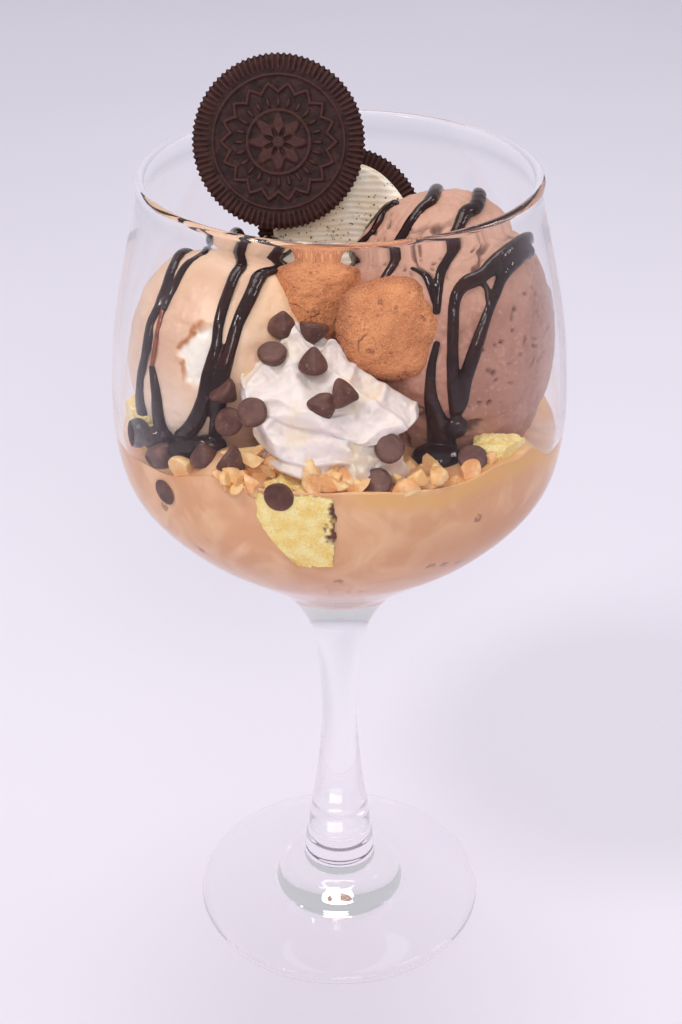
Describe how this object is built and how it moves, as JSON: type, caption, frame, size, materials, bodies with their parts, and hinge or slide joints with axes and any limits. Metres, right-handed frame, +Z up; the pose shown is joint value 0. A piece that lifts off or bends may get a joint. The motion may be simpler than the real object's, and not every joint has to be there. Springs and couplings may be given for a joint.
{
  "type": "ice cream sundae",
  "caption": "Ice cream sundae in a stemmed goblet glass, with scoops, sauce, whipped cream, cookies, chips, nuts and sponge on caramel cream.",
  "frame": {"origin": "middle of the foot's underside", "axes": "+Z up along the stem; the side shown in the picture faces -Y, with the pale scoop towards -X"},
  "size_m": [0.1224, 0.1224, 0.2651],
  "materials": {
    "glass": "clear smooth soda-lime glass",
    "caramel": "glossy soft caramel cream with dark specks and chopped nuts",
    "vanilla": "satin pale peach-beige ice cream with glossy dark sauce",
    "chocolate": "satin rough pinkish-brown ice cream with glossy dark sauce",
    "wafer": "matt very dark baked chocolate wafer with pressed relief",
    "filling": "matt pale cream filling with crumbs",
    "cookie": "matt golden-brown baked dough with cracks and pores",
    "whip": "satin white whipped cream",
    "cake": "matt yellow porous sponge with a brown skin",
    "chip": "satin dark chocolate"
  },
  "bodies": {
    "root": {"glass": "glass", "wafer_front": "wafer", "wafer_back": "wafer", "wafer_filling": "filling", "small_cookie_back": "cookie", "small_cookie_front": "cookie", "chip_01": "chip", "chip_02": "chip", "chip_03": "chip", "chip_04": "chip", "chip_05": "chip", "chip_06": "chip", "chip_07": "chip", "chip_08": "chip", "chip_09": "chip", "chip_10": "chip", "chip_11": "chip", "chip_12": "chip", "chip_13": "chip", "chip_14": "chip", "chip_15": "chip", "chip_16": "chip", "chip_17": "chip", "chip_18": "chip", "chip_19": "chip", "cake_front": "cake", "cake_left": "cake", "cake_right": "cake", "scoop_vanilla": "vanilla", "scoop_chocolate": "chocolate", "caramel_cream": "caramel", "whipped_cream": "whip"}
  },
  "joints": []
}
